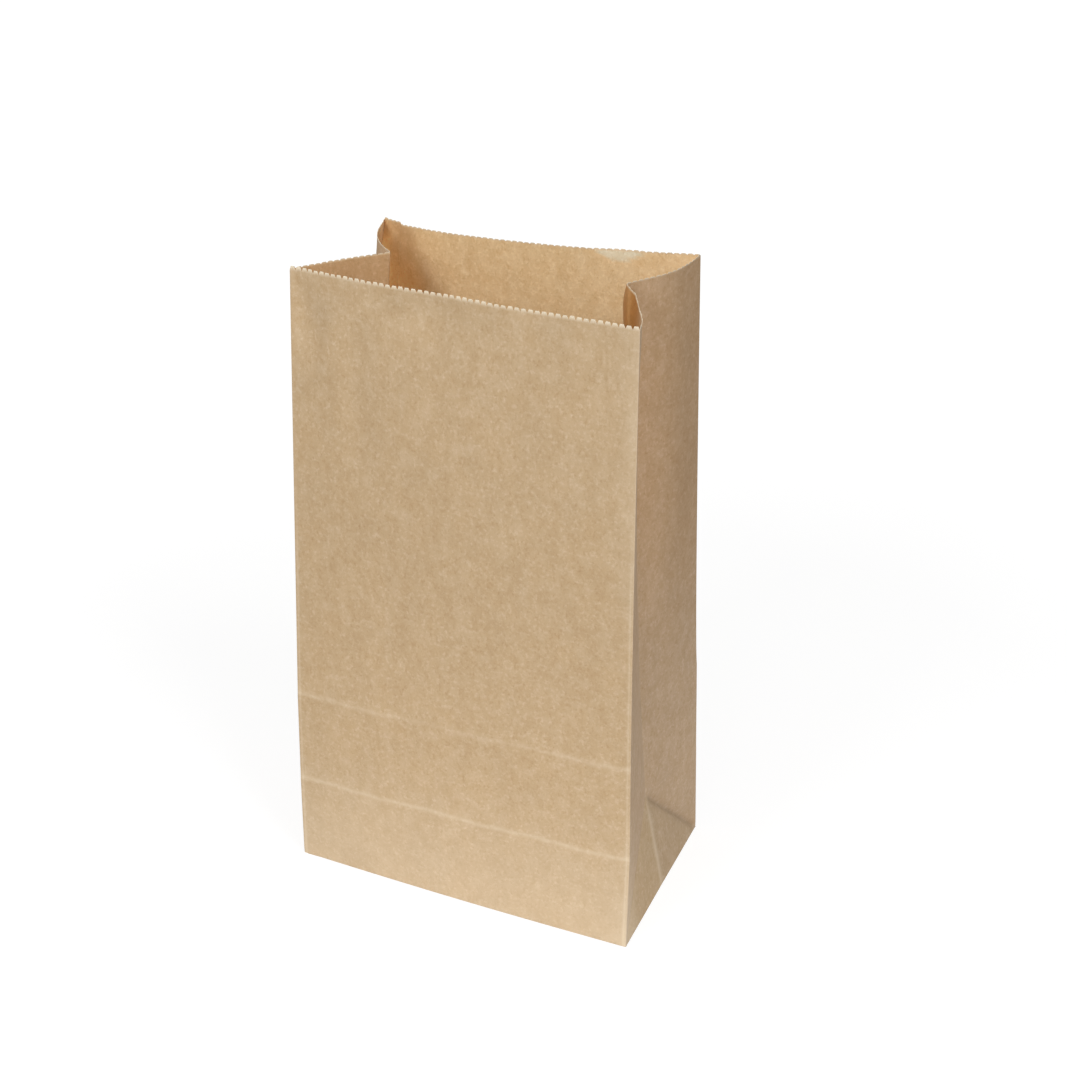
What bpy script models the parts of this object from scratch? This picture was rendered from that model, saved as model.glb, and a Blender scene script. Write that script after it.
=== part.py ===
"""A brown paper lunch bag: one folded sheet that stands open, with gusseted sides, a block bottom and pinked edges.

Metres, +Z up. The origin is in the middle of the base, on the surface that the bag stands on.
"""

import math

import bmesh
import bpy
from mathutils import Vector

# The flat sizes of the bag
WIDTH = 0.150
DEPTH = 0.086
HEIGHT = 0.270
PAPER = 0.00012

# The glued side seam: a tab of the left gusset that laps the inside of the back panel,
# with the width that its edge takes to step from one ply to two
SEAM_LAP = 0.012
SEAM_STEP = 0.0003

# The two long flaps that are folded and glued under the bottom, and how far each
# goes into the ply that it is glued to, as a share of the paper's thickness
FLAP_LAP = 0.020
FLAP_INSET = 0.0006
INNER_FLAP_BOND = 0.5
OUTER_FLAP_BOND = 0.65

# The pinked edge
TOOTH_PITCH = 0.0028
TOOTH_DEPTH = 0.0015
PINKED_BAND = 0.006

# How finely the paper is divided
CELL = 0.0083
GUSSET_CELLS = 5
UPPER_ROW = 0.0138

MM = 0.001
WELD = 0.000001

# How far each upright corner crease stands off a true box, in millimetres,
# at the base, at the fold of the bottom, at its pressed line and at the top
CORNER_OFFSETS = {
    "front_left": ((-1.0, 0.6, 0.0), (1.0, -0.6, -1.0), (2.0, 0.7, -2.0), (1.6, 20.0, -4.0)),
    "front_right": ((0.9, -1.8, 0.0), (1.3, 0.2, 0.3), (1.0, 0.5, 0.8), (0.2, 5.3, 1.2)),
    "back_right": ((-0.6, -0.9, 0.0), (-1.4, -1.3, 0.0), (-2.2, -1.7, 0.1), (-5.6, -3.4, 0.3)),
    "back_left": ((-0.5, -0.8, 0.0), (-0.3, -0.2, -0.6), (-0.1, 0.4, -1.2), (1.0, 3.5, -8.5)),
}
CORNER_SIDES = {"front_left": (-1, -1), "front_right": (1, -1), "back_right": (1, 1), "back_left": (-1, 1)}
# Above the pressed line a crease bends with this power of the height
CORNER_BENDS = {"front_left": 1.0, "front_right": 2.0, "back_right": 0.7, "back_left": 1.5}

# How far the panels and half gussets bow out of flat at the top, and the power that the bow grows with
FRONT_BOW = 0.0020
BACK_BOW = -0.0069
FRONT_BASE_BOW = 0.0010
RIGHT_FRONT_BULGE = 0.0015
RIGHT_BACK_BULGE = 0.0045
LEFT_FRONT_BULGE = 0.0005
LEFT_BACK_BULGE = 0.0045
BOW_GROWTH = 1.5

KRAFT_COLOR = (0.540, 0.386, 0.227, 1.0)
KRAFT_ROUGHNESS = 0.85

FLAP_PLIES = 2


def half_depth():
    """The width of half a gusset, which is also the height of the bottom's fold."""
    return DEPTH / 2


def levels():
    """The heights up the sheet at which the corner creases change direction."""
    return (0.0, half_depth(), DEPTH, HEIGHT)


def corner(name, v):
    """The point of an upright corner crease at the distance v up the sheet."""
    marks = levels()
    step = (v > marks[1]) + (v > marks[2])
    share = (v - marks[step]) / (marks[step + 1] - marks[step])
    if step == 2:
        share **= CORNER_BENDS[name]
    low, high = (Vector(offset) * MM for offset in CORNER_OFFSETS[name][step:step + 2])
    side_x, side_y = CORNER_SIDES[name]
    foot = FLAP_PLIES * PAPER
    return Vector((side_x * WIDTH / 2, side_y * DEPTH / 2, foot + v)) + low.lerp(high, share)


def middle_crease(first, second, v, inward):
    """The gusset's middle crease: what its fixed width leaves over between the corners is tucked in."""
    start, end = corner(first, v), corner(second, v)
    spare = half_depth() ** 2 - ((end - start).length / 2) ** 2
    return (start + end) / 2 + Vector((inward * math.sqrt(max(spare, 0.0)), 0.0, 0.0))


def bowed(start, end, t, amount):
    """The point at t from start to end, pushed sideways out of the straight line."""
    along = end - start
    outward = Vector((along.y, -along.x, 0.0)).normalized()
    return start + along * t + outward * amount * math.sin(math.pi * t)


def growth(v):
    """How much of a bow at the top is there at the height v."""
    return (v / HEIGHT) ** BOW_GROWTH


def front(t, v):
    """The front panel, from the left corner at 0 to the right one at 1."""
    bow = FRONT_BASE_BOW + (FRONT_BOW - FRONT_BASE_BOW) * growth(v)
    return bowed(corner("front_left", v), corner("front_right", v), t, bow)


def back(t, v):
    """The back panel, from the right corner at 0 to the left one at 1."""
    return bowed(corner("back_right", v), corner("back_left", v), t, BACK_BOW * growth(v))


def facet(origin, first, second, a, b):
    """A point of the flat triangle at origin, a along to first and b along to second."""
    return origin + (first - origin) * a + (second - origin) * b


def folded_half(root, root_top, apex, middle, s, v):
    """The lower half gusset: two triangles that meet on the crease from the base corner to the apex."""
    half = half_depth()
    if s <= v:
        return facet(root, root_top, apex, (v - s) / half, s / half)
    return facet(root, apex, middle, v / half, (s - v) / half)


def gusset(first, second, inward, bulges, t, v):
    """A side gusset, from its first corner at 0 over the middle crease at a half to its second at 1."""
    half = half_depth()
    if v >= half:
        crease = middle_crease(first, second, v, inward)
        if t <= 0.5:
            return bowed(corner(first, v), crease, 2 * t, bulges[0] * growth(v))
        return bowed(crease, corner(second, v), 2 * t - 1, bulges[1] * growth(v))
    apex = middle_crease(first, second, half, inward)
    middle = (corner(first, 0.0) + corner(second, 0.0)) / 2
    root, s = (first, t * DEPTH) if t <= 0.5 else (second, (1 - t) * DEPTH)
    return folded_half(corner(root, 0.0), corner(root, half), apex, middle, s, v)


def right(t, v):
    """The right gusset, from the front corner at 0 to the back one at 1."""
    return gusset("front_right", "back_right", -1, (RIGHT_FRONT_BULGE, RIGHT_BACK_BULGE), t, v)


def left(t, v):
    """The left gusset, from the back corner at 0 to the front one at 1."""
    return gusset("back_left", "front_left", 1, (LEFT_BACK_BULGE, LEFT_FRONT_BULGE), t, v)


def spread(start, end, step):
    """Even stops from start to end, about step apart, without the last."""
    count = max(1, round((end - start) / step))
    return [start + (end - start) * i / count for i in range(count)]


def seam_edges():
    """Where the seam's tab starts and ends on the back panel, beside the left corner."""
    end = 1 - SEAM_STEP / WIDTH
    return end - SEAM_LAP / WIDTH, end


def front_stops():
    """The columns of the front panel."""
    return spread(0.0, 1.0, CELL / WIDTH) + [1.0]


def back_stops():
    """The columns of the back panel, with the steps up to the seam's tab and down from it."""
    start, end = seam_edges()
    foot = start - SEAM_STEP / WIDTH
    return spread(0.0, foot, CELL / WIDTH) + [foot] + spread(start, end, CELL / WIDTH) + [end, 1.0]


def gusset_stops():
    """The columns of a gusset, the middle crease among them."""
    return spread(0.0, 1.0, 1 / (2 * GUSSET_CELLS)) + [1.0]


def panels():
    """The four walls in the order round the bag, each with its columns."""
    return ((front, front_stops()), (right, gusset_stops()), (back, back_stops()), (left, gusset_stops()))


def is_doubled(wall, t, v):
    """Whether the seam's tab makes the paper two plies thick here."""
    start, end = seam_edges()
    return wall is back and v > 0.0 and start <= t <= end


def rows():
    """The heights of the rows, from the base to the pinked band."""
    half = half_depth()
    lower = spread(0.0, half, half / GUSSET_CELLS) + spread(half, DEPTH, half / GUSSET_CELLS)
    return lower + spread(DEPTH, HEIGHT - PINKED_BAND, UPPER_ROW) + [HEIGHT - PINKED_BAND]


def teeth(start, end, length):
    """The pinked edge of one stretch as (place, height) pairs, from valley to valley."""
    valley = HEIGHT - TOOTH_DEPTH
    count = round(length / TOOTH_PITCH)
    marks = [start + (end - start) * i / (2 * count) for i in range(1, 2 * count)]
    between = [(t, valley if i % 2 else HEIGHT) for i, t in enumerate(marks)]
    return [(start, valley), *between, (end, valley)]


class Sheet:
    """The open surface that the paper is given its thickness from. A spot on it is a wall, t and v."""

    def __init__(self):
        self.bm = bmesh.new()
        self.plies = self.bm.verts.layers.deform.verify()

    def vert(self, spot):
        """A vertex at this spot. Those of neighbouring faces are welded at the end."""
        wall, t, v = spot
        vert = self.bm.verts.new(wall(t, v))
        vert[self.plies][0] = 1.0 if is_doubled(wall, t, v) else 0.0
        return vert

    def face(self, spots):
        """One face through these spots, in order."""
        self.bm.faces.new([self.vert(spot) for spot in spots])

    def cell(self, wall, columns, heights, split):
        """One cell of a wall. A split of 1 or -1 cuts it on its rising or its falling diagonal."""
        (t0, t1), (v0, v1) = columns, heights
        a, b, c, d = (wall, t0, v0), (wall, t1, v0), (wall, t1, v1), (wall, t0, v1)
        if split == 1:
            self.face((a, b, c))
            self.face((a, c, d))
        elif split == -1:
            self.face((a, b, d))
            self.face((b, c, d))
        else:
            self.face((a, b, c, d))

    def wall(self, wall, stops):
        """The cells of one wall, with the bottom's diagonal creases on a gusset."""
        heights = rows()
        for i, columns in enumerate(zip(stops, stops[1:])):
            for j, pair in enumerate(zip(heights, heights[1:])):
                split = None
                if wall in (left, right) and i == j and j < GUSSET_CELLS:
                    split = 1
                elif wall in (left, right) and i + j == 2 * GUSSET_CELLS - 1 and j < GUSSET_CELLS:
                    split = -1
                self.cell(wall, columns, pair, split)

    def pinked_band(self, wall, stops):
        """The top band of one wall, whose upper edge is cut in teeth."""
        low = HEIGHT - PINKED_BAND
        for t0, t1 in zip(stops, stops[1:]):
            length = (wall(t1, low) - wall(t0, low)).length
            edge = [(wall, t, v) for t, v in teeth(t0, t1, length)]
            self.face([(wall, t0, low), (wall, t1, low), *reversed(edge)])

    def base(self):
        """The flat bottom, inside the feet of the four walls."""
        feet = [(wall, t, 0.0) for wall, stops in panels() for t in stops[:-1]]
        self.face(feet[::-1])

    def finish(self, name):
        """The sheet as an object, with the group that marks its doubled paper."""
        bmesh.ops.remove_doubles(self.bm, verts=self.bm.verts, dist=WELD)
        mesh = bpy.data.meshes.new(name)
        self.bm.to_mesh(mesh)
        self.bm.free()
        obj = bpy.data.objects.new(name, mesh)
        obj.vertex_groups.new(name="two_plies")
        return obj


def add_thickness(obj, thickness):
    """Gives a surface its thickness, all of it behind the surface."""
    solidify = obj.modifiers.new("Paper", "SOLIDIFY")
    solidify.thickness = thickness
    solidify.offset = -1
    solidify.use_even_offset = True
    return solidify


def add_union(obj, other):
    """Joins a ply that is glued to the sheet."""
    union = obj.modifiers.new(f"Glued {other.name}", "BOOLEAN")
    union.operation = "UNION"
    union.solver = "EXACT"
    union.object = other


def make_bag(material):
    """The walls and the bottom, folded from one sheet, with the seam's tab as a second ply."""
    sheet = Sheet()
    for wall, stops in panels():
        sheet.wall(wall, stops)
        sheet.pinked_band(wall, stops)
    sheet.base()
    bag = sheet.finish("paper_bag")
    bag.data.materials.append(material)
    paper = add_thickness(bag, 2 * PAPER)
    paper.vertex_group = "two_plies"
    paper.thickness_vertex_group = 0.5
    return bag


def flap_outline():
    """A flap that is rooted at the back: from its right root over the pinked cut edge to its left root."""
    reach = half_depth() + FLAP_LAP / 2
    half_edge = WIDTH / 2 - reach
    count = max(1, round(2 * half_edge / TOOTH_PITCH))
    edge = []
    for i in range(2 * count + 1):
        notch = 0.0 if i % 2 else TOOTH_DEPTH
        edge.append((half_edge * (1 - i / count), notch - FLAP_LAP / 2))
    root_x, root_y = WIDTH / 2 - FLAP_INSET, half_depth() - FLAP_INSET
    return [(root_x, root_y), *edge, (-root_x, root_y)]


def make_flap(name, turn, under, bond):
    """One long flap of the bottom. The turn of -1 brings the outline round to the front."""
    places = [(turn * x, turn * y, under) for x, y in flap_outline()]
    mesh = bpy.data.meshes.new(name)
    mesh.from_pydata(places, [], [range(len(places))])
    flap = bpy.data.objects.new(name, mesh)
    add_thickness(flap, (FLAP_PLIES + bond) * PAPER - under)
    return flap


def kraft_material():
    """Plain brown kraft paper."""
    material = bpy.data.materials.new("kraft_paper")
    material.use_nodes = True
    shader = material.node_tree.nodes["Principled BSDF"]
    shader.inputs["Base Color"].default_value = KRAFT_COLOR
    shader.inputs["Roughness"].default_value = KRAFT_ROUGHNESS
    shader.inputs["Metallic"].default_value = 0.0
    return material


def collection(name):
    """A new collection in the scene."""
    made = bpy.data.collections.new(name)
    bpy.context.scene.collection.children.link(made)
    return made


def clear_scene():
    """Removes every object that the scene starts with."""
    for obj in list(bpy.data.objects):
        bpy.data.objects.remove(obj, do_unlink=True)


def main():
    """Makes the bag and joins the plies that are glued to it."""
    clear_scene()
    bag = make_bag(kraft_material())
    collection("paper_lunch_bag").objects.link(bag)
    plies = collection("glued_plies")
    front_flap = make_flap("front_flap", -1, PAPER, INNER_FLAP_BOND)
    back_flap = make_flap("back_flap", 1, 0.0, OUTER_FLAP_BOND)
    for ply in (front_flap, back_flap):
        plies.objects.link(ply)
        ply.hide_render = True
        ply.display_type = "WIRE"
        add_union(bag, ply)


main()
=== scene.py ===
"""The looks of a brown paper lunch bag: a folded kraft sheet that stands open in soft light on a white floor."""

import logging
import math
from dataclasses import dataclass, field
from enum import Enum
from typing import Callable

import bpy
import numpy as np
from mathutils import Matrix, Vector

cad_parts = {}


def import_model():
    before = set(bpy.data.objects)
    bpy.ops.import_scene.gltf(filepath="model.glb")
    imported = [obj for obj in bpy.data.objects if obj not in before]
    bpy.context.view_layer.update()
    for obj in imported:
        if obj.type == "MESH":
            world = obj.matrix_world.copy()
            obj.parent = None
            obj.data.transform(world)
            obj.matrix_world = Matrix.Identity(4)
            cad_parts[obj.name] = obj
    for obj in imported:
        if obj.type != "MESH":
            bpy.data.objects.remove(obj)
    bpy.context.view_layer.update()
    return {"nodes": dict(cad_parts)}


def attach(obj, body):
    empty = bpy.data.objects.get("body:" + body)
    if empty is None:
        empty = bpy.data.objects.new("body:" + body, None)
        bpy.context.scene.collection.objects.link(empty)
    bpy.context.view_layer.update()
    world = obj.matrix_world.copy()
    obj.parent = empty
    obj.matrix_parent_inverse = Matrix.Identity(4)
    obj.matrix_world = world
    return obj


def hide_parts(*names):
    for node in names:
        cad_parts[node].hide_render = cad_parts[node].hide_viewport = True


MM = 0.001
NODE = "paper_bag"
BODY = "root"
VALLEY_CUT = 0.45
UNTINTED = 0.5
SHARP_DEG = 60.0
CLOSE = 1e-7

Array = np.ndarray
Wall = Callable[[Array, Array], Array]
Colour = tuple[float, float, float]
Socket = bpy.types.NodeSocket

logging.basicConfig(level=logging.INFO, format="%(message)s")
log = logging.getLogger("lunch_bag")


class Corner(Enum):
    """The four upright corner creases, each with the side of the bag that it stands on."""

    FRONT_LEFT = (-1, -1)
    FRONT_RIGHT = (1, -1)
    BACK_RIGHT = (1, 1)
    BACK_LEFT = (-1, 1)


class Inward(Enum):
    """Which way a gusset's middle crease is tucked along X."""

    FROM_RIGHT = -1
    FROM_LEFT = 1


@dataclass(frozen=True)
class BagSizes:
    """The flat sizes of the bag, in metres."""

    width: float = 0.150
    depth: float = 0.086
    height: float = 0.270
    paper: float = 0.00012
    seam_lap: float = 0.012
    seam_rise: float = 0.0010
    flap_lap: float = 0.020
    flap_inset: float = 0.0006
    tooth_depth: float = 0.0014
    panel_teeth: int = 54
    half_gusset_teeth: int = 16

    @property
    def half(self) -> float:
        """Half a gusset's width, which is also the height of the bottom's fold."""
        return self.depth / 2

    @property
    def girth(self) -> float:
        """The way round the bag."""
        return 2 * (self.width + self.depth)

    @property
    def back_start(self) -> float:
        """Where the back panel starts along the girth, at its right corner."""
        return self.width + self.depth

    @property
    def back_end(self) -> float:
        """Where the back panel ends along the girth, at its left corner."""
        return self.girth - self.depth

    @property
    def corners(self) -> tuple[float, ...]:
        """The upright corners along the girth, the first one twice."""
        return 0.0, self.width, self.back_start, self.back_end, self.girth

    @property
    def creases(self) -> tuple[float, ...]:
        """The gussets' middle creases along the girth."""
        return self.width + self.half, self.girth - self.half

    @property
    def foot(self) -> float:
        """The height of the bottom's inner ply, over its two flaps."""
        return 2 * self.paper


@dataclass(frozen=True)
class CornerLine:
    """How one corner crease stands off a true box, in millimetres.

    The four offsets are at the base, at the bottom's fold, at its pressed line and at the top.
    """

    offsets: tuple[tuple[float, float, float], ...]
    bend: float = 1.0


@dataclass(frozen=True)
class Touch:
    """A soft dent or swelling: its centre and half sizes along and up the sheet, its turn and its height."""

    along: float
    up: float
    half_along: float
    half_up: float
    height: float
    turn_deg: float = 0.0


@dataclass(frozen=True)
class Pull:
    """A place of the mouth that handling pulled aside: where, how far it reaches, and the way it went."""

    along: float
    up: float
    reach_before: float
    reach_after: float
    reach_up: float
    way: tuple[float, float, float]

    def share(self, s: Array, v: Array) -> Array:
        """How far each place follows the pull, from 0 to 1."""
        away = s - self.along
        reach = np.where(away < 0, self.reach_before, self.reach_after)
        near = np.clip(1 - np.abs(away) / reach, 0.0, 1.0) ** 1.3
        return near * bell(v - self.up, self.reach_up)


def mix(start: Array, end: Array, share: Array) -> Array:
    """The points at this share of the way from start to end."""
    return start + (end - start) * share[:, None]


def tinted(colour: Colour, share: Array) -> Array:
    """The colour as a factor: in full where the share is 1, and plain white where it is 0."""
    return 1 + (np.array(colour) - 1) * share[:, None]


def bell(off: Array, half: float) -> Array:
    """1 in the middle of a soft band and falling off on both sides, by this half width."""
    return np.exp(-(off / half) ** 2)


def unit(vectors: Array) -> Array:
    """The vectors at length one."""
    return vectors / np.maximum(np.linalg.norm(vectors, axis=-1, keepdims=True), 1e-12)


def smooth_step(low: float, high: float, values: Array) -> Array:
    """Rises softly from 0 at low to 1 at high."""
    share = np.clip((values - low) / (high - low), 0.0, 1.0)
    return share * share * (3 - 2 * share)


def past(values: Array) -> Array:
    """Rises softly from 0 to 1 where the values pass 0, over a millimetre on both sides."""
    return smooth_step(-MM, MM, values)


def nearest(s: Array, places: tuple[float, ...]) -> Array:
    """How far the nearest of these places is."""
    return np.min([np.abs(s - place) for place in places], axis=0)


def evened(start: float, end: float, count: int) -> list[float]:
    """Even stops from start to end, both included."""
    return list(np.linspace(start, end, count + 1))


@dataclass
class StandingForm:
    """The surface of the open bag, from the way along the girth and the way up the sheet."""

    sizes: BagSizes = field(default_factory=BagSizes)
    corners: dict[Corner, CornerLine] = field(default_factory=lambda: {
        Corner.FRONT_LEFT: CornerLine(((-1.0, 0.6, 0.0), (1.0, -0.6, -1.0), (2.0, 0.7, -2.0), (1.6, 20.0, -4.0))),
        Corner.FRONT_RIGHT: CornerLine(((0.9, -1.8, 0.0), (1.3, 0.2, 0.3), (1.0, 0.5, 0.8), (0.2, 5.3, 1.2)), 2.0),
        Corner.BACK_RIGHT: CornerLine(
            ((-0.6, -0.9, 0.0), (-1.4, -1.3, 0.0), (-2.2, -1.7, 0.1), (-5.6, -3.4, 0.3)), 0.7),
        Corner.BACK_LEFT: CornerLine(
            ((-0.5, -0.8, 0.0), (-0.3, -0.2, -0.6), (-0.1, 0.4, -1.2), (1.0, 3.5, -8.5)), 1.5),
    })
    front_bow: float = 0.0020
    front_base_bow: float = 0.0010
    back_bow: float = -0.0069
    right_bulges: tuple[float, float] = (0.0015, 0.0045)
    left_bulges: tuple[float, float] = (0.0037, 0.0005)
    bow_growth: float = 1.5
    fold_radius: float = 0.0004
    pulls: tuple[Pull, ...] = (
        Pull(0.386, 0.272, 0.034, 0.043, 0.020, (0.0036, 0.0016, 0.0)),
        Pull(0.386, 0.271, 0.003, 0.003, 0.006, (0.0, 0.0, 0.0008)),
        Pull(0.193, 0.240, 0.030, 0.025, 0.045, (-0.0013, 0.0, 0.0)),
        Pull(0.193, 0.090, 0.040, 0.030, 0.055, (-0.0011, 0.0, 0.0)),
        Pull(0.193, 0.271, 0.012, 0.012, 0.006, (0.0018, 0.0, 0.0)),
        Pull(0.183, 0.271, 0.019, 0.011, 0.008, (0.0032, 0.0, 0.0)),
    )

    def corner(self, which: Corner, v: Array) -> Array:
        """Points of a corner crease.

        Args:
            which: The corner.
            v: Ways up the sheet.

        Returns:
            One point for each way.
        """
        sizes, line = self.sizes, self.corners[which]
        marks = np.array((0.0, sizes.half, sizes.depth, sizes.height))
        step = (v > marks[1]).astype(int) + (v > marks[2])
        share = (v - marks[step]) / (marks[step + 1] - marks[step])
        share = np.where(step == 2, np.maximum(share, 0.0) ** line.bend, share)
        offsets = np.array(line.offsets) * MM
        side_x, side_y = which.value
        box = np.stack([np.full_like(v, side_x * sizes.width / 2), np.full_like(v, side_y * sizes.depth / 2),
                        sizes.foot + v], axis=1)
        return box + mix(offsets[step], offsets[step + 1], share)

    def middle_crease(self, first: Corner, second: Corner, v: Array, inward: Inward) -> Array:
        """Points of a gusset's middle crease: what its fixed width leaves over between the corners is tucked in."""
        start, end = self.corner(first, v), self.corner(second, v)
        chord = np.linalg.norm(end - start, axis=1) / 2
        tuck = np.sqrt(np.maximum(self.sizes.half ** 2 - chord ** 2, 0.0))
        middle = (start + end) / 2
        middle[:, 0] += inward.value * tuck
        return middle

    def bowed(self, start: Array, end: Array, t: Array, amount: Array) -> Array:
        """Points at t from start to end, pushed sideways out of the straight line."""
        along = end - start
        outward = unit(np.stack([along[:, 1], -along[:, 0], np.zeros(len(along))], axis=1))
        return start + along * t[:, None] + outward * (amount * np.sin(np.pi * t))[:, None]

    def growth(self, v: Array) -> Array:
        """How much of a bow at the top is there at the way v."""
        return (np.maximum(v, 0.0) / self.sizes.height) ** self.bow_growth

    def front(self, t: Array, v: Array) -> Array:
        """The front panel, from its left corner at 0 to its right one at 1."""
        bow = self.front_base_bow + (self.front_bow - self.front_base_bow) * self.growth(v)
        return self.bowed(self.corner(Corner.FRONT_LEFT, v), self.corner(Corner.FRONT_RIGHT, v), t, bow)

    def back(self, t: Array, v: Array) -> Array:
        """The back panel, from its right corner at 0 to its left one at 1."""
        bow = self.back_bow * self.growth(v)
        return self.bowed(self.corner(Corner.BACK_RIGHT, v), self.corner(Corner.BACK_LEFT, v), t, bow)

    def pleat(self, first: Corner, second: Corner, inward: Inward, bulges: tuple[float, float],
              t: Array, v: Array) -> Array:
        """The upper gusset: two halves that meet on the middle crease."""
        crease = self.middle_crease(first, second, v, inward)
        near = self.bowed(self.corner(first, v), crease, 2 * t, bulges[0] * self.growth(v))
        far = self.bowed(crease, self.corner(second, v), 2 * t - 1, bulges[1] * self.growth(v))
        return np.where((t <= 0.5)[:, None], near, far)

    def foot_facets(self, root: Corner, apex: Array, middle: Array,
                    s: Array, v: Array) -> Array:
        """One half of the lower gusset: two flat triangles that meet on the diagonal crease."""
        half = self.sizes.half
        base, top = self.corner(root, np.zeros_like(v)), self.corner(root, np.full_like(v, half))
        upper = base + (top - base) * ((v - s) / half)[:, None] + (apex - base) * (s / half)[:, None]
        lower = base + (apex - base) * (v / half)[:, None] + (middle - base) * ((s - v) / half)[:, None]
        return np.where((s <= v)[:, None], upper, lower)

    def gusset(self, first: Corner, second: Corner, inward: Inward, bulges: tuple[float, float],
               t: Array, v: Array) -> Array:
        """A side gusset, from its first corner at 0 over the middle crease to its second at 1."""
        sizes = self.sizes
        zero, fold = np.zeros_like(v), np.full_like(v, sizes.half)
        apex = self.middle_crease(first, second, fold, inward)
        middle = (self.corner(first, zero) + self.corner(second, zero)) / 2
        near = self.foot_facets(first, apex, middle, t * sizes.depth, v)
        far = self.foot_facets(second, apex, middle, (1 - t) * sizes.depth, v)
        low = np.where((t <= 0.5)[:, None], near, far)
        return np.where((v < sizes.half)[:, None], low, self.pleat(first, second, inward, bulges, t, v))

    def right(self, t: Array, v: Array) -> Array:
        """The right gusset, from the front corner at 0 to the back one at 1."""
        return self.gusset(Corner.FRONT_RIGHT, Corner.BACK_RIGHT, Inward.FROM_RIGHT, self.right_bulges, t, v)

    def left(self, t: Array, v: Array) -> Array:
        """The left gusset, from the back corner at 0 to the front one at 1."""
        return self.gusset(Corner.BACK_LEFT, Corner.FRONT_LEFT, Inward.FROM_LEFT, self.left_bulges, t, v)

    def walls(self) -> tuple[tuple[Wall, float, float], ...]:
        """The four walls with where each starts along the girth and how wide it is."""
        width, depth = self.sizes.width, self.sizes.depth
        return ((self.front, 0.0, width), (self.right, width, depth),
                (self.back, width + depth, width), (self.left, 2 * width + depth, depth))

    def sharp(self, s: Array, v: Array) -> Array:
        """The surface with knife-sharp folds. Below the base it turns in under the bag."""
        s = np.mod(s, self.sizes.girth)
        up = np.maximum(v, 0.0)
        places = np.zeros((len(s), 3))
        for wall, start, width in self.walls():
            here = (s >= start) & (s < start + width)
            places[here] = wall((s[here] - start) / width, up[here])
        under = np.minimum(v, 0.0)
        centre = places[:, :2] / np.array((self.sizes.width / 2, self.sizes.depth / 2))
        turned = unit(centre * (np.abs(centre) >= np.abs(centre).max(axis=1, keepdims=True) - 1e-3))
        places[:, :2] += turned * under[:, None]
        return places

    def soft(self, s: Array, v: Array) -> Array:
        """The surface with its folds rounded, as the mean of the sharp one over a small patch."""
        weights = (0.25, 0.5, 0.25)
        total = np.zeros((len(s), 3))
        for i, along in zip((-1, 0, 1), weights):
            for j, across in zip((-1, 0, 1), weights):
                shift_s, shift_v = i * self.fold_radius, j * self.fold_radius
                top = np.minimum(v + shift_v, 2 * self.sizes.height - v)
                total += along * across * self.sharp(s + shift_s, np.where(v >= self.sizes.height, v, top))
        for pull in self.pulls:
            total += pull.share(s, v)[:, None] * np.array(pull.way)
        return total


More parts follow.
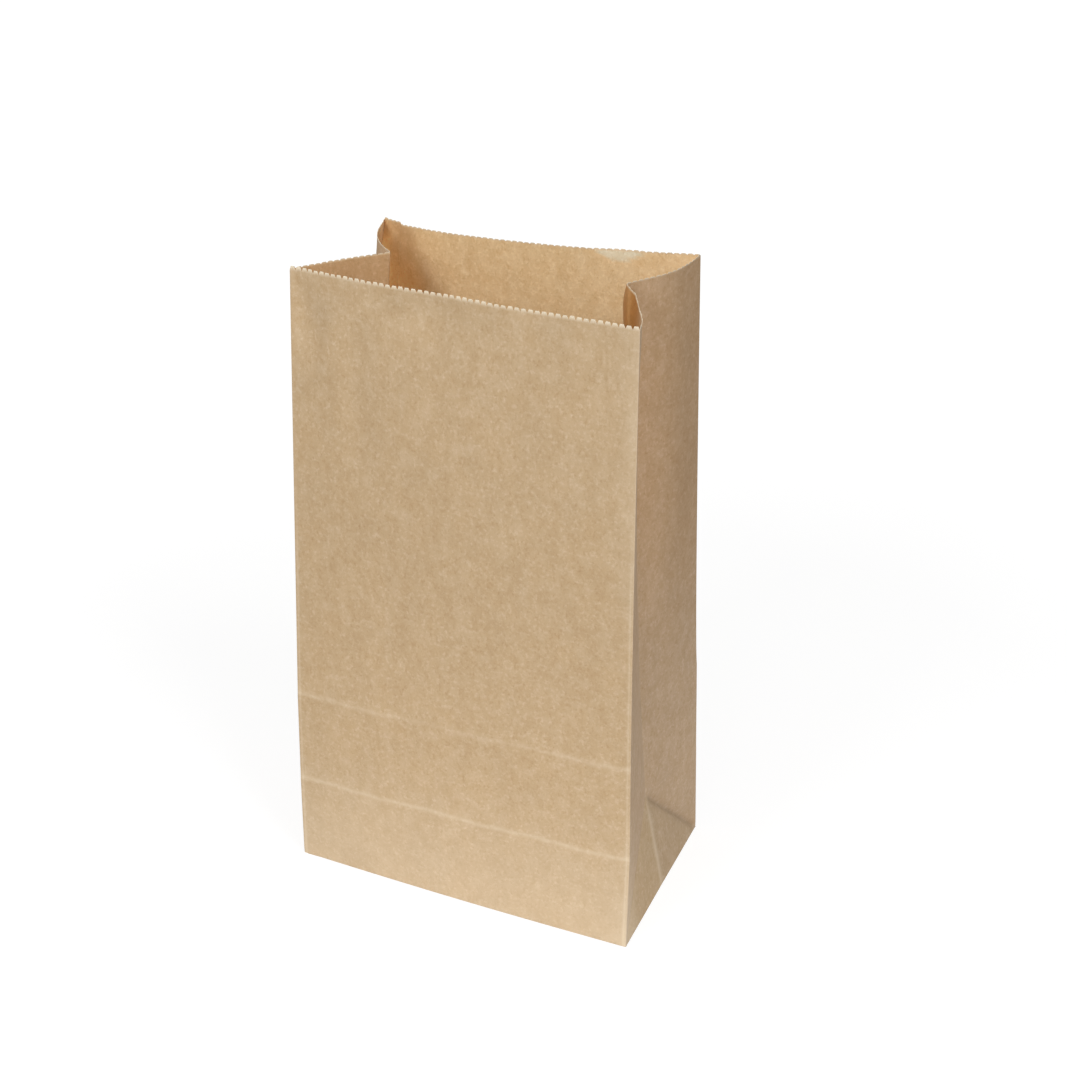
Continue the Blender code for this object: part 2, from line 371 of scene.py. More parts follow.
@dataclass
class Relief:
    """How far the paper stands off its smooth form, in metres, and where its folds and pressed lines run."""

    sizes: BagSizes = field(default_factory=BagSizes)
    press_step: float = 0.00012
    press_half: float = 0.0011
    waves: tuple[tuple[float, float, float], ...] = ((0.0004, 130.0, 0.0), (0.0002, 417.0, 1.0))
    fold_clear: float = 0.004
    diagonal_end: float = 0.006
    diagonal_depth: float = 0.0017
    roll_above: float = 0.0035
    roll_below: float = 0.0016
    front_diagonal: float = 0.15
    diagonal_shade: float = 0.13
    groove_half: float = 0.0016
    lens_along: float = 0.2692
    lens_half: float = 0.0130
    lens_drop: float = 0.0054
    lens_slope: float = 0.20
    kink_along: float = 0.3715
    kink_slant: float = 0.38
    kink_depth: float = 0.0008
    kink_drop: float = 0.060
    kink_reach: float = 0.050

    def touches(self) -> tuple[Touch, ...]:
        """The dents and swellings that handling left in the paper."""
        back = self.sizes.back_start
        return (
            Touch(0.008, 0.250, 0.008, 0.016, -0.0017, 10.0),
            Touch(0.019, 0.233, 0.009, 0.014, 0.0010, -30.0),
            Touch(0.030, 0.222, 0.006, 0.030, -0.0007, 5.0),
            Touch(0.051, 0.259, 0.007, 0.006, -0.0005),
            Touch(0.067, 0.262, 0.016, 0.013, -0.0015),
            Touch(0.1455, 0.235, 0.0035, 0.045, 0.0003),
            Touch(0.040, 0.150, 0.020, 0.060, -0.0005, 15.0),
            Touch(0.105, 0.175, 0.025, 0.070, 0.0005, -10.0),
            Touch(0.085, 0.100, 0.030, 0.022, -0.0003, 25.0),
            Touch(0.130, 0.062, 0.020, 0.014, 0.0002, 10.0),
            Touch(0.159, 0.268, 0.010, 0.016, 0.0009),
            Touch(0.183, 0.262, 0.007, 0.022, -0.0006),
            Touch(0.215, 0.225, 0.010, 0.040, 0.0006, 8.0),
            Touch(0.213, 0.130, 0.012, 0.040, -0.0004, -6.0),
            Touch(back + 0.060, 0.215, 0.030, 0.035, 0.0010, 10.0),
            Touch(back + 0.118, 0.245, 0.012, 0.030, -0.0008, 18.0),
            Touch(0.446, 0.250, 0.010, 0.025, 0.0006),
            Touch(0.452, 0.150, 0.012, 0.050, -0.0005),
        )

    def height(self, s: Array, v: Array) -> Array:
        """The relief at these places along the girth and up the sheet."""
        total = np.zeros_like(s)
        for touch in self.touches():
            angle = math.radians(touch.turn_deg)
            x, y = s - touch.along, v - touch.up
            across = (x * math.cos(angle) + y * math.sin(angle)) / touch.half_along
            rise = (y * math.cos(angle) - x * math.sin(angle)) / touch.half_up
            total += touch.height * np.exp(-(across ** 2 + rise ** 2)) * self.off_folds(s)
        total += self.folded_steps(s, v) + self.diagonals(s, v) + self.lens(s, v) + self.kink(s, v)
        return total * smooth_step(-0.0005, 0.004, v)

    def fold_distance(self, s: Array) -> Array:
        """How far along the girth the nearest upright fold is."""
        return nearest(s, (*self.sizes.corners, *self.sizes.creases))

    def off_folds(self, s: Array) -> Array:
        """0 on the upright folds, which dents leave straight, and 1 a little way off them."""
        return smooth_step(0.0, self.fold_clear, self.fold_distance(s))

    def wave(self, s: Array) -> Array:
        """How a pressed line strays from level."""
        return sum(height * np.sin(s * rate + start) for height, rate, start in self.waves)

    def on_panels(self, s: Array) -> Array:
        """1 on the front and back panels and 0 on the gussets."""
        sizes = self.sizes
        return np.maximum(past(s) * past(sizes.width - s), past(s - sizes.back_start) * past(sizes.back_end - s))

    def folded_steps(self, s: Array, v: Array) -> Array:
        """The paper below each pressed line stands a hair proud of that above it."""
        lower = smooth_step(-self.press_half, self.press_half, self.sizes.half - self.wave(s) - v)
        upper = smooth_step(-self.press_half, self.press_half, self.sizes.depth - self.wave(s) - v)
        return self.press_step * (lower * self.on_panels(s) + 0.7 * upper * self.upper_share(s))

    def diagonals(self, s: Array, v: Array) -> Array:
        """The gussets' lower creases, which draw the paper above them in with a soft roll."""
        sizes = self.sizes
        total = np.zeros_like(s)
        for corner, side, share in ((sizes.width, 1, self.front_diagonal), (sizes.back_start, -1, 1.0),
                                    (sizes.back_end, 1, 1.0), (sizes.girth, -1, self.front_diagonal)):
            out = (s - corner) * side
            here = (out > 0) & (out <= sizes.half)
            away = v - out
            roll = np.where(away > 0, np.exp(-away / self.roll_above), np.exp(away / self.roll_below))
            ends = smooth_step(0.0, self.diagonal_end, out) * smooth_step(0.0, self.diagonal_end, sizes.half - out)
            total -= np.where(here, share * self.diagonal_depth * roll * ends, 0.0)
        return total

    def crease_shade(self, s: Array, v: Array) -> Array:
        """How light the outside is, below 1 in the soft groove of a gusset's rear diagonal."""
        sizes = self.sizes
        out = nearest(s, (sizes.back_start, sizes.back_end))
        gusset = 1 - self.on_panels(s)
        groove = bell(v - out, self.groove_half) + 0.5 * np.exp(-np.abs(v - out - 0.003) / 0.006)
        ends = smooth_step(0.0, 0.004, out) * smooth_step(sizes.half, sizes.half - 0.004, out)
        return 1 - self.diagonal_shade * groove * ends * gusset

    def kink_line(self, v: Array) -> Array:
        """Where along the girth the slanting soft fold beside the back left corner runs."""
        return self.kink_along - self.kink_slant * (self.sizes.height - v)

    def kink(self, s: Array, v: Array) -> Array:
        """A slanting soft fold of the back panel, pushed in beside the back left corner."""
        down = self.sizes.height - v
        line = self.kink_line(v)
        corner = self.sizes.back_end
        left = np.clip((corner - s) / (corner - line), 0.0, 1.0)
        right = np.clip((s - line + self.kink_reach) / self.kink_reach, 0.0, 1.0) ** 2
        ridge = np.where(s > line, left, right)
        return -self.kink_depth * ridge * bell(down, self.kink_drop) * (s < corner)

    def lens(self, s: Array, v: Array) -> Array:
        """A bit of the back's rim that is bent back along a curved line."""
        return self.lens_slope * np.maximum(self.lens_reach(s, v), 0.0)

    def lens_reach(self, s: Array, v: Array) -> Array:
        """How far above the curved line of the bent rim each place is."""
        across = (s - self.lens_along) / self.lens_half
        return v - self.sizes.height + self.lens_drop * (1 - across ** 2)

    def pressed(self, s: Array, v: Array) -> Array:
        """How near each place is to a line that was pressed across the sheet: 1 on it and 0 away from it."""
        lower = bell(v - self.sizes.half - self.wave(s), self.press_half) * self.on_panels(s)
        upper = bell(v - self.sizes.depth - self.wave(s), self.press_half)
        return np.clip(lower + upper * self.upper_share(s), 0.0, 1.0)

    def upper_share(self, s: Array) -> Array:
        """The upper line is faint, and fainter on the gussets and in the middle of the front panel."""
        return (0.68 + 0.26 * np.cos(s / self.sizes.width * 2 * math.pi)) * (0.4 + 0.6 * self.on_panels(s))


@dataclass
class WearAndFloorLight:
    """Paleness, as shares of a pale colour: rubbed on folds and pressed lines, and painted floor light at the foot."""

    sizes: BagSizes = field(default_factory=BagSizes)
    relief: Relief = field(default_factory=Relief)
    corners: float = 0.20
    creases: float = 0.12
    foot_creases: float = 0.30
    fold_half: float = 0.0005
    foot_crease_half: float = 0.0011
    pressed_lines: float = 0.36
    edge_line: float = 0.32
    edge_line_inset: float = 0.0013
    edge_line_top: float = 0.200
    # painted light from the white floor, which pales the foot and the gusset's foot beside the front right corner
    foot: float = 0.27
    foot_top: float = 0.075
    beside_foot_floor_light: float = 0.25
    beside_mouth: float = 0.28

    def share(self, s: Array, v: Array) -> Array:
        """How pale each place is, from 0 to 1: rubbed, and at the foot painted with floor light."""
        total = self.folds(s, v) + self.front_edges(s, v) + self.foot_share(s, v)
        total += self.pressed_lines * self.relief.pressed(s, v) * (0.8 + 0.2 * np.sin(s * 900.0))
        return np.clip(total, 0.0, 1.0)

    def folds(self, s: Array, v: Array) -> Array:
        """The upright folds. The gussets' middle creases are rubbed wider at the foot."""
        corner, centre = nearest(s, self.sizes.corners), nearest(s, self.sizes.creases)
        low = smooth_step(0.0, 0.010, self.sizes.half - v)
        crease_half = self.fold_half + self.foot_crease_half * low
        return (self.corners * bell(corner, self.fold_half)
                + (self.creases + self.foot_creases * low) * bell(centre, crease_half))

    def front_edges(self, s: Array, v: Array) -> Array:
        """A fine line just inside the front panel's two upright edges, on its lower part."""
        middle = self.sizes.width / 2
        line = bell(np.abs(s - middle) - middle + self.edge_line_inset, self.fold_half)
        return self.edge_line * line * smooth_step(0.0, 0.05, self.edge_line_top - v)

    def foot_share(self, s: Array, v: Array) -> Array:
        """Painted floor light at the foot, most on the panels; the gusset by the front right corner is paler at both
        ends.
        """
        corner = self.sizes.width
        panels = np.maximum(self.relief.on_panels(s), bell(s - corner, 0.012))
        beside = self.beside_foot_floor_light * smooth_step(0.055, 0.0, v) + self.beside_mouth * smooth_step(0.130, 0.190, v)
        return (self.foot * smooth_step(self.foot_top, 0.0, v) * (0.25 + 0.75 * panels)
                + beside * bell(s - corner - 0.005, 0.010))


@dataclass
class PaintedLightAndShade:
    """Painted light and shade on the paper, as factors on red, green and blue that change its colour from place to
    place.

    The inner face is painted light on the back panel, and painted warmer and darker in the folded corners,
    as shade where light comes by way of other paper. The outer face is painted lighter along the gussets' middle
    creases and darker away from them and in the middle of the panels, with a painted reflection of the white
    surroundings low on the gussets.
    """

    sizes: BagSizes = field(default_factory=BagSizes)
    relief: Relief = field(default_factory=Relief)
    # painted light inside the back panel, lighter and warmer than the lamps light it
    back_right: Colour = (1.69, 1.74, 1.67)
    back_left: Colour = (1.54, 1.52, 1.36)
    # painted light and shade at the back panel's left corner, behind the left gusset
    corner_rim: Colour = (1.30, 1.18, 0.98)
    corner_deep: Colour = (1.91, 1.84, 1.47)
    corner_turn: Colour = (1.26, 1.46, 1.74)
    turn_along: float = 0.376
    # painted shade along the soft fold beside the back left corner
    valley: Colour = (0.80, 0.74, 0.69)
    back_fade: float = 0.010
    valley_half: float = 0.006
    valley_drop: float = 0.010
    valley_reach: float = 0.014
    # paler painted light on the bent bit of the back's rim
    bent_rim: Colour = (1.54, 1.88, 2.30)
    # painted light on the gussets' inner faces
    gusset: Colour = (1.22, 1.09, 0.95)
    # painted light on the left gusset beside the back left corner
    rolled: Colour = (1.22, 1.38, 1.58)
    rolled_past: float = 0.003
    rolled_half: float = 0.007
    # painted shade where the right gusset is tucked in
    tuck: Colour = (0.90, 0.54, 0.20)
    tuck_reach: float = 0.030
    # painted highlight in a slanting stripe beside the right gusset's crease
    stripe_highlight: Colour = (1.24, 1.50, 2.20)
    stripe_along: float = 0.1850
    stripe_up: float = 0.262
    stripe_slant: float = 0.55
    stripe_half: float = 0.0022
    # painted light along the gussets' middle creases, and painted shade on their upper parts away from them
    outer_crease: Colour = (1.19, 1.10, 1.08)
    outer_corner: Colour = (0.97, 0.89, 0.86)
    # painted reflection of the white surroundings, low on the gussets
    outer_low_reflection: Colour = (1.06, 1.05, 1.13)
    # painted shade on the gussets' rear triangles below the diagonals
    outer_rear_foot_shade: Colour = (0.93, 0.93, 0.97)
    low_end: float = 0.080
    high_start: float = 0.190
    # painted shade in the middle of the panels' height, lighter towards top and foot
    panel_middle_shade: Colour = (0.962, 0.955, 0.945)
    middle_up: float = 0.150
    middle_half: float = 0.065

    def inner(self, s: Array, v: Array) -> Array:
        """The painted light and shade of the inner face at these places along the girth and up the sheet."""
        start = self.sizes.back_start
        back = smooth_step(start - self.back_fade, start, s) * past(self.sizes.back_end - s)
        return mix(self.inner_gussets(s, v), self.inner_back(s, v), back)

    def inner_back(self, s: Array, v: Array) -> Array:
        """Painted light on the back panel: even but for its left corner, the soft fold beside it and the bent bit of
        rim.
        """
        down = self.sizes.height - v
        across = np.clip((s - self.sizes.back_start) / self.sizes.width, 0.0, 1.0)
        even = mix(np.array(self.back_right), np.array(self.back_left), across)
        fold = self.relief.kink_line(v)
        painted_light_factor = mix(even, self.back_left_corner(s, down), smooth_step(fold - 0.007, fold + 0.004, s))
        # painted shade along the soft fold
        valley = bell(s - fold, self.valley_half) * bell(down - self.valley_drop, self.valley_reach)
        bent = smooth_step(-0.0006, 0.0006, self.relief.lens_reach(s, v))
        return mix(painted_light_factor * tinted(self.valley, valley), np.array(self.bent_rim), bent)

    def back_left_corner(self, s: Array, down: Array) -> Array:
        """Painted light and shade on the back panel behind the left gusset, by the way along the girth and down from
        the rim.
        """
        start = self.turn_along
        beside = smooth_step(start, start + 0.006, s) * smooth_step(0.003, 0.010, down)
        deep = np.maximum(smooth_step(0.004, 0.024, down), beside)
        turned = smooth_step(start, start + 0.008, s) * smooth_step(0.007, 0.018, down)
        return mix(np.array(self.corner_rim), np.array(self.corner_deep), deep) * tinted(self.corner_turn, turned)

    def inner_gussets(self, s: Array, v: Array) -> Array:
        """Painted light on the gussets. The right one has painted shade where it is tucked in, but for a painted
        highlight in a stripe beside its crease.
        """
        tucked = smooth_step(self.tuck_reach, 0.002, np.abs(s - self.sizes.width - self.tuck_reach))
        stripe_highlight = bell(s - self.stripe_along - self.stripe_slant * (v - self.stripe_up), self.stripe_half)
        tuck = np.array(self.tuck) * tinted(self.stripe_highlight, stripe_highlight)
        rolled = bell(s - self.sizes.back_end - self.rolled_past, self.rolled_half)
        return mix(np.array(self.gusset), tuck, tucked) * tinted(self.rolled, rolled)

    def outer(self, s: Array, v: Array) -> Array:
        """The painted light and shade of the outer face at these places along the girth and up the sheet."""
        sizes = self.sizes
        off_crease = nearest(s, sizes.creases)
        off_corner = np.maximum(sizes.half - off_crease, 0.0)
        high = mix(np.array(self.outer_crease), np.array(self.outer_corner), smooth_step(0.004, 0.030, off_crease))
        back_centre = sizes.back_start + sizes.width / 2
        rear = (np.abs(s - back_centre) < sizes.width / 2 + sizes.half).astype(float)
        low = mix(tinted(self.outer_rear_foot_shade, rear), np.array(self.outer_low_reflection), past(v - off_corner))
        gusset = mix(low, high, smooth_step(self.low_end, self.high_start, v))
        panel = tinted(self.panel_middle_shade, bell(v - self.middle_up, self.middle_half))
        return mix(gusset, panel, self.relief.on_panels(s)) * self.relief.crease_shade(s, v)[:, None]


@dataclass
class NodeBuilder:
    """Short ways to add and link nodes in a tree."""

    tree: bpy.types.NodeTree

    def node(self, kind: str, inputs: dict | None = None, **settings: str) -> bpy.types.Node:
        """A new node with these settings, and with each input linked to a socket or set to a value."""
        node = self.tree.nodes.new(kind)
        for name, setting in settings.items():
            setattr(node, name, setting)
        for name, value in (inputs or {}).items():
            if isinstance(value, Socket):
                self.tree.links.new(value, node.inputs[name])
            elif value is not None:
                node.inputs[name].default_value = value
        return node

    def math(self, operation: str, first: Socket, second: Socket | float | None = None) -> Socket:
        """A sum on one or two values."""
        return self.node("ShaderNodeMath", {0: first, 1: second}, operation=operation).outputs["Value"]

    def vector(self, operation: str, first: Socket, second: Socket | None = None, scale: Socket | None = None,
               output: str = "Vector") -> Socket:
        """A sum on one or two vectors."""
        inputs = {0: first, 1: second, "Scale": scale}
        return self.node("ShaderNodeVectorMath", inputs, operation=operation).outputs[output]

    def spread(self, value: Socket, low: float, high: float, start: float = 0.0, end: float = 1.0) -> Socket:
        """The value spread out from low and high to start and end, and no further."""
        inputs = {"Value": value, "From Min": low, "From Max": high, "To Min": start, "To Max": end}
        return self.node("ShaderNodeMapRange", inputs).outputs["Result"]

    def named(self, name: str, kind: str) -> Socket:
        """An attribute that the mesh holds."""
        return self.node("GeometryNodeInputNamedAttribute", {"Name": name}, data_type=kind).outputs["Attribute"]

    def random(self, low: Socket, high: Socket, seed: Socket) -> Socket:
        """A random value between two limits."""
        node = self.node("FunctionNodeRandomValue", {"Seed": seed}, data_type="FLOAT")
        floats = [socket for socket in node.inputs if socket.name in ("Min", "Max") and socket.type == "VALUE"]
        for limit, socket in zip((low, high), floats):
            self.tree.links.new(limit, socket)
        return next(socket for socket in node.outputs if socket.type == "VALUE" and socket.enabled)


@dataclass(frozen=True)
class Grain:
    """A noise in the paper: waves to the metre, its detail, its roughness, and its stretch along the axes."""

    scale: float
    detail: float
    roughness: float
    stretch: tuple[float, float, float] = (1.0, 1.0, 1.0)

    def make(self, build: NodeBuilder, place: Socket) -> Socket:
        """The noise over the object."""
        mapping = build.node("ShaderNodeMapping", {"Vector": place, "Scale": self.stretch})
        noise = build.node("ShaderNodeTexNoise", {"Vector": mapping.outputs["Vector"], "Scale": self.scale,
                                                  "Detail": self.detail, "Roughness": self.roughness})
        return noise.outputs["Fac"]


@dataclass(frozen=True)
class KraftPaper:
    """Brown kraft paper: matt, finely mottled, paler where rubbed or cut, and with light and shade painted on it."""

    name: str = "kraft_paper"
    base: Colour = (0.534, 0.378, 0.217)
    pale_fibre: Colour = (0.640, 0.490, 0.325)
    dark_fibre: Colour = (0.450, 0.290, 0.140)
    # the pale colour of rubbed paper, also used for painted light from the floor at the foot
    worn: Colour = (0.760, 0.630, 0.460)
    cut: Colour = (0.870, 0.760, 0.580)
    roughness: float = 0.85
    specular: float = 0.55
    pale_fibres: Grain = Grain(640.0, 3.0, 0.62)
    dark_fibres: Grain = Grain(830.0, 3.0, 0.60, (1.1, 0.9, 0.8))
    fine_grain: Grain = Grain(2100.0, 2.0, 0.5)
    clouds: Grain = Grain(75.0, 3.0, 0.55, (1.0, 1.0, 0.7))
    mottle: Grain = Grain(210.0, 2.0, 0.5, (1.0, 1.0, 0.8))
    cloud_depth: float = 0.035
    grain_depth: float = 0.045
    bump_strength: float = 0.30
    bump_height: float = 0.00010

    def make(self) -> bpy.types.Material:
        """The finish as a node material.

        Returns:
            The material, which reads Object coordinates and the attributes of painted light, paling and cut edges.
        """
        material = bpy.data.materials.new(self.name)
        material.use_nodes = True
        build = NodeBuilder(material.node_tree)
        shader = build.tree.nodes["Principled BSDF"]
        shader.inputs["Roughness"].default_value = self.roughness
        shader.inputs["Specular IOR Level"].default_value = self.specular
        place = build.node("ShaderNodeTexCoord").outputs["Object"]
        noises = {noise: noise.make(build, place) for noise in (
            self.pale_fibres, self.dark_fibres, self.fine_grain, self.clouds, self.mottle)}
        build.tree.links.new(self.colour(build, noises), shader.inputs["Base Color"])
        fibres = build.math("ADD", noises[self.pale_fibres], noises[self.fine_grain])
        bump = build.node("ShaderNodeBump", {"Strength": self.bump_strength, "Distance": self.bump_height,
                                             "Height": fibres})
        build.tree.links.new(bump.outputs["Normal"], shader.inputs["Normal"])
        return material

    def colour(self, build: NodeBuilder, noises: dict[Grain, Socket]) -> Socket:
        """The paper with its fibres, clouds, painted light and shade, rubbed and floor-lit paling and its cut edges.
        """
        colour = build.node("ShaderNodeRGB").outputs[0]
        colour.default_value = (*self.base, 1.0)
        for noise, low, high, second in (
                (self.pale_fibres, 0.50, 0.78, self.pale_fibre), (self.dark_fibres, 0.52, 0.80, self.dark_fibre),
                (self.mottle, 0.50, 1.25, self.dark_fibre), (self.mottle, 0.50, -0.25, self.pale_fibre)):
            colour = self.blend(build, colour, build.spread(noises[noise], low, high), second)
        for noise, depth in ((self.clouds, self.cloud_depth), (self.fine_grain, self.grain_depth)):
            factor = build.spread(noises[noise], 0.25, 0.75, 1 - depth, 1 + depth)
            colour = build.vector("SCALE", colour, scale=factor)
        # painted light and shade on both faces, as factors on the colour
        painted_light_factor = build.node("ShaderNodeAttribute", attribute_name="painted_light_factor").outputs["Vector"]
        colour = build.vector("MULTIPLY", colour, painted_light_factor)
        # paled by rubbing and by painted floor light at the foot, then the cut edges
        for name, second in (("worn", self.worn), ("pinked", self.cut)):
            share = build.node("ShaderNodeAttribute", attribute_name=name).outputs["Fac"]
            colour = self.blend(build, colour, share, second)
        return colour

    @staticmethod
    def blend(build: NodeBuilder, colour: Socket, share: Socket, second: Colour) -> Socket:
        """The colour, replaced by the second one as far as share says."""
        return build.node("ShaderNodeMix", {0: share, 6: colour, 7: (*second, 1.0)}, data_type="RGBA").outputs[2]


@dataclass
class PinkedEdge:
    """The teeth of a cut edge, one on each mesh edge whose ends both have the attribute mouth at 1.

    The attribute reach gives their share of the full height.
    """

    depth: float = 0.0014
    base_width: float = 0.0028
    tip_width: float = 0.0015
    least: float = 0.90
    most: float = 1.12
    lean_deg: float = 9.0
    seed: int = 11
    on_mouth: float = 0.99
    weld: float = 0.000004
    mark_from: float = 0.0002
    # painted light on the teeth's inner face, as inside the bag
    lining: Colour = (1.5, 1.5, 1.4)

    def add_to(self, sheet: bpy.types.Object, material: bpy.types.Material) -> None:
        """Puts the teeth on a sheet with a node modifier.

        Args:
            sheet: A mesh with the attributes mouth, reach, along and rise on its points.
            material: The paper's finish.
        """
        modifier = sheet.modifiers.new("Pinked edge", "NODES")
        modifier.node_group = self.tree(material)
        for item in modifier.node_group.interface.items_tree:
            if item.item_type == "SOCKET" and item.in_out == "INPUT" and item.name in self.settings():
                modifier[item.identifier] = self.settings()[item.name]

    def settings(self) -> dict[str, float]:
        """The values of the tree's named inputs."""
        return {"Depth": self.depth, "Base width": self.base_width, "Tip width": self.tip_width,
                "Least height": self.least, "Most height": self.most,
                "Lean": math.radians(self.lean_deg), "Seed": self.seed}

    def tree(self, material: bpy.types.Material) -> bpy.types.NodeTree:
        """The node tree: a tooth on the middle of each mouth edge, welded to the sheet."""
        tree = bpy.data.node_groups.new("pinked_edge", "GeometryNodeTree")
        tree.interface.new_socket("Geometry", in_out="INPUT", socket_type="NodeSocketGeometry")
        for name in self.settings():
            kind = "NodeSocketInt" if name == "Seed" else "NodeSocketFloat"
            tree.interface.new_socket(name, in_out="INPUT", socket_type=kind)
        tree.interface.new_socket("Geometry", in_out="OUTPUT", socket_type="NodeSocketGeometry")
        build = NodeBuilder(tree)
        given = build.node("NodeGroupInput")
        points = self.edge_points(build, given.outputs["Geometry"])
        teeth = self.placed_teeth(build, given, points)
        joined = build.node("GeometryNodeJoinGeometry")
        tree.links.new(given.outputs["Geometry"], joined.inputs["Geometry"])
        tree.links.new(teeth, joined.inputs["Geometry"])
        weld = build.node("GeometryNodeMergeByDistance",
                          {"Geometry": joined.outputs["Geometry"], "Distance": self.weld})
        dress = build.node("GeometryNodeSetMaterial", {"Geometry": weld.outputs["Geometry"], "Material": material})
        result = build.node("NodeGroupOutput")
        tree.links.new(dress.outputs["Geometry"], result.inputs["Geometry"])
        return tree

    def edge_points(self, build: NodeBuilder, sheet: Socket) -> dict[str, Socket]:
        """A point on each mouth edge, with the edge's direction, its length and the sheet's rise there."""
        ends = build.node("GeometryNodeInputMeshEdgeVertices")
        span = build.vector("SUBTRACT", ends.outputs["Position 2"], ends.outputs["Position 1"])
        along = build.named("along", "FLOAT_VECTOR")
        side = build.math("SIGN", build.vector("DOT_PRODUCT", span, along, output="Value"))
        heading = build.vector("SCALE", span, scale=side)
        chosen = build.math("GREATER_THAN", build.named("mouth", "FLOAT"), self.on_mouth)
        geometry, fields = sheet, {}
        wanted = (("heading", heading, "VECTOR"), ("rise", build.named("rise", "FLOAT_VECTOR"), "VECTOR"),
                  ("share", build.named("reach", "FLOAT"), "FLOAT"))
        for name, value, kind in wanted:
            capture = build.node("GeometryNodeCaptureAttribute", domain="EDGE")
            capture.capture_items.new(kind, name)
            build.tree.links.new(geometry, capture.inputs["Geometry"])
            build.tree.links.new(value, capture.inputs[name])
            geometry, fields[name] = capture.outputs["Geometry"], capture.outputs[name]
        points = build.node("GeometryNodeMeshToPoints", {"Mesh": geometry, "Selection": chosen}, mode="EDGES")
        return {"points": points.outputs["Points"], **fields}

    def placed_teeth(self, build: NodeBuilder, given: bpy.types.Node,
                     points: dict[str, Socket]) -> Socket:
        """The teeth on these points, turned into the sheet, each with its own height and lean."""
        turned = build.node("FunctionNodeAlignRotationToVector", {"Vector": points["heading"]}, axis="X")
        upright = build.node("FunctionNodeAlignRotationToVector",
                             {"Rotation": turned.outputs["Rotation"], "Vector": points["rise"]},
                             axis="Y", pivot_axis="X")
        lean = build.random(build.math("MULTIPLY", given.outputs["Lean"], -1.0), given.outputs["Lean"],
                            given.outputs["Seed"])
        lean_turn = build.node("FunctionNodeAxisAngleToRotation", {"Axis": (1.0, 0.0, 0.0), "Angle": lean})
        leaning = build.node("FunctionNodeRotateRotation",
                             {"Rotation": upright.outputs["Rotation"], "Rotate By": lean_turn.outputs["Rotation"]},
                             rotation_space="LOCAL")
        length = build.vector("LENGTH", points["heading"], output="Value")
        stretch = build.math("DIVIDE", length, given.outputs["Base width"])
        reach = build.random(given.outputs["Least height"], given.outputs["Most height"],
                             build.math("ADD", given.outputs["Seed"], 1.0))
        reach = build.math("MULTIPLY", reach, points["share"])
        scale = build.node("ShaderNodeCombineXYZ", {"X": stretch, "Y": reach, "Z": 1.0})
        placed = build.node("GeometryNodeInstanceOnPoints", {
            "Points": points["points"], "Instance": self.tooth(build, given),
            "Rotation": leaning.outputs["Rotation"], "Scale": scale.outputs["Vector"]})
        real = build.node("GeometryNodeRealizeInstances", {"Geometry": placed.outputs["Instances"]})
        return real.outputs["Geometry"]

    def tooth(self, build: NodeBuilder, given: bpy.types.Node) -> Socket:
        """One tooth, standing on the X axis, with its tip marked as cut and painted light on its inner face."""
        outline = build.node("GeometryNodeCurvePrimitiveQuadrilateral", {
            "Height": given.outputs["Depth"], "Bottom Width": given.outputs["Base width"],
            "Top Width": given.outputs["Tip width"], "Offset": 0.0}, mode="TRAPEZOID")
        plate = build.node("GeometryNodeFillCurve", {"Curve": outline.outputs["Curve"]}, mode="NGONS")
        lift = build.node("ShaderNodeCombineXYZ", {"Y": build.math("MULTIPLY", given.outputs["Depth"], 0.5)})
        raised = build.node("GeometryNodeTransform",
                            {"Geometry": plate.outputs["Mesh"], "Translation": lift.outputs["Vector"]})
        height = build.node("ShaderNodeSeparateXYZ", {"Vector": build.node("GeometryNodeInputPosition").outputs[0]})
        mark = build.node("GeometryNodeStoreNamedAttribute",
                          {"Geometry": raised.outputs["Geometry"], "Name": "pinked",
                           "Value": build.math("GREATER_THAN", height.outputs["Y"], self.mark_from)})
        painted_light_factor = build.node("GeometryNodeStoreNamedAttribute", {
            "Geometry": mark.outputs["Geometry"], "Name": "lining", "Value": self.lining}, data_type="FLOAT_VECTOR")
        return painted_light_factor.outputs["Geometry"]


@dataclass
class MeshParts:
    """Points, faces and attributes that grow piece by piece into one mesh."""

    places: list[Array] = field(default_factory=list)
    faces: list[list[int]] = field(default_factory=list)
    values: dict[str, list[Array]] = field(default_factory=dict)
    count: int = 0

    def add(self, places: Array, faces: list[list[int]], **values: Array) -> None:
        """Adds points with faces on them, and what the points hold."""
        self.places.append(places)
        self.faces.extend([[self.count + i for i in face] for face in faces])
        for name, value in values.items():
            self.values.setdefault(name, []).append(value)
        self.count += len(places)

    def make(self, name: str) -> bpy.types.Object:
        """The mesh object, linked to the scene."""
        mesh = bpy.data.meshes.new(name)
        mesh.from_pydata(np.concatenate(self.places).tolist(), [], self.faces)
        for key, parts in self.values.items():
            value = np.concatenate(parts)
            kind = "FLOAT_VECTOR" if value.ndim == 2 else "FLOAT"
            layer = mesh.attributes.new(key, kind, "POINT")
            layer.data.foreach_set("vector" if value.ndim == 2 else "value", value.astype(np.float32).ravel())
        obj = bpy.data.objects.new(name, mesh)
        bpy.context.scene.collection.objects.link(obj)
        return obj


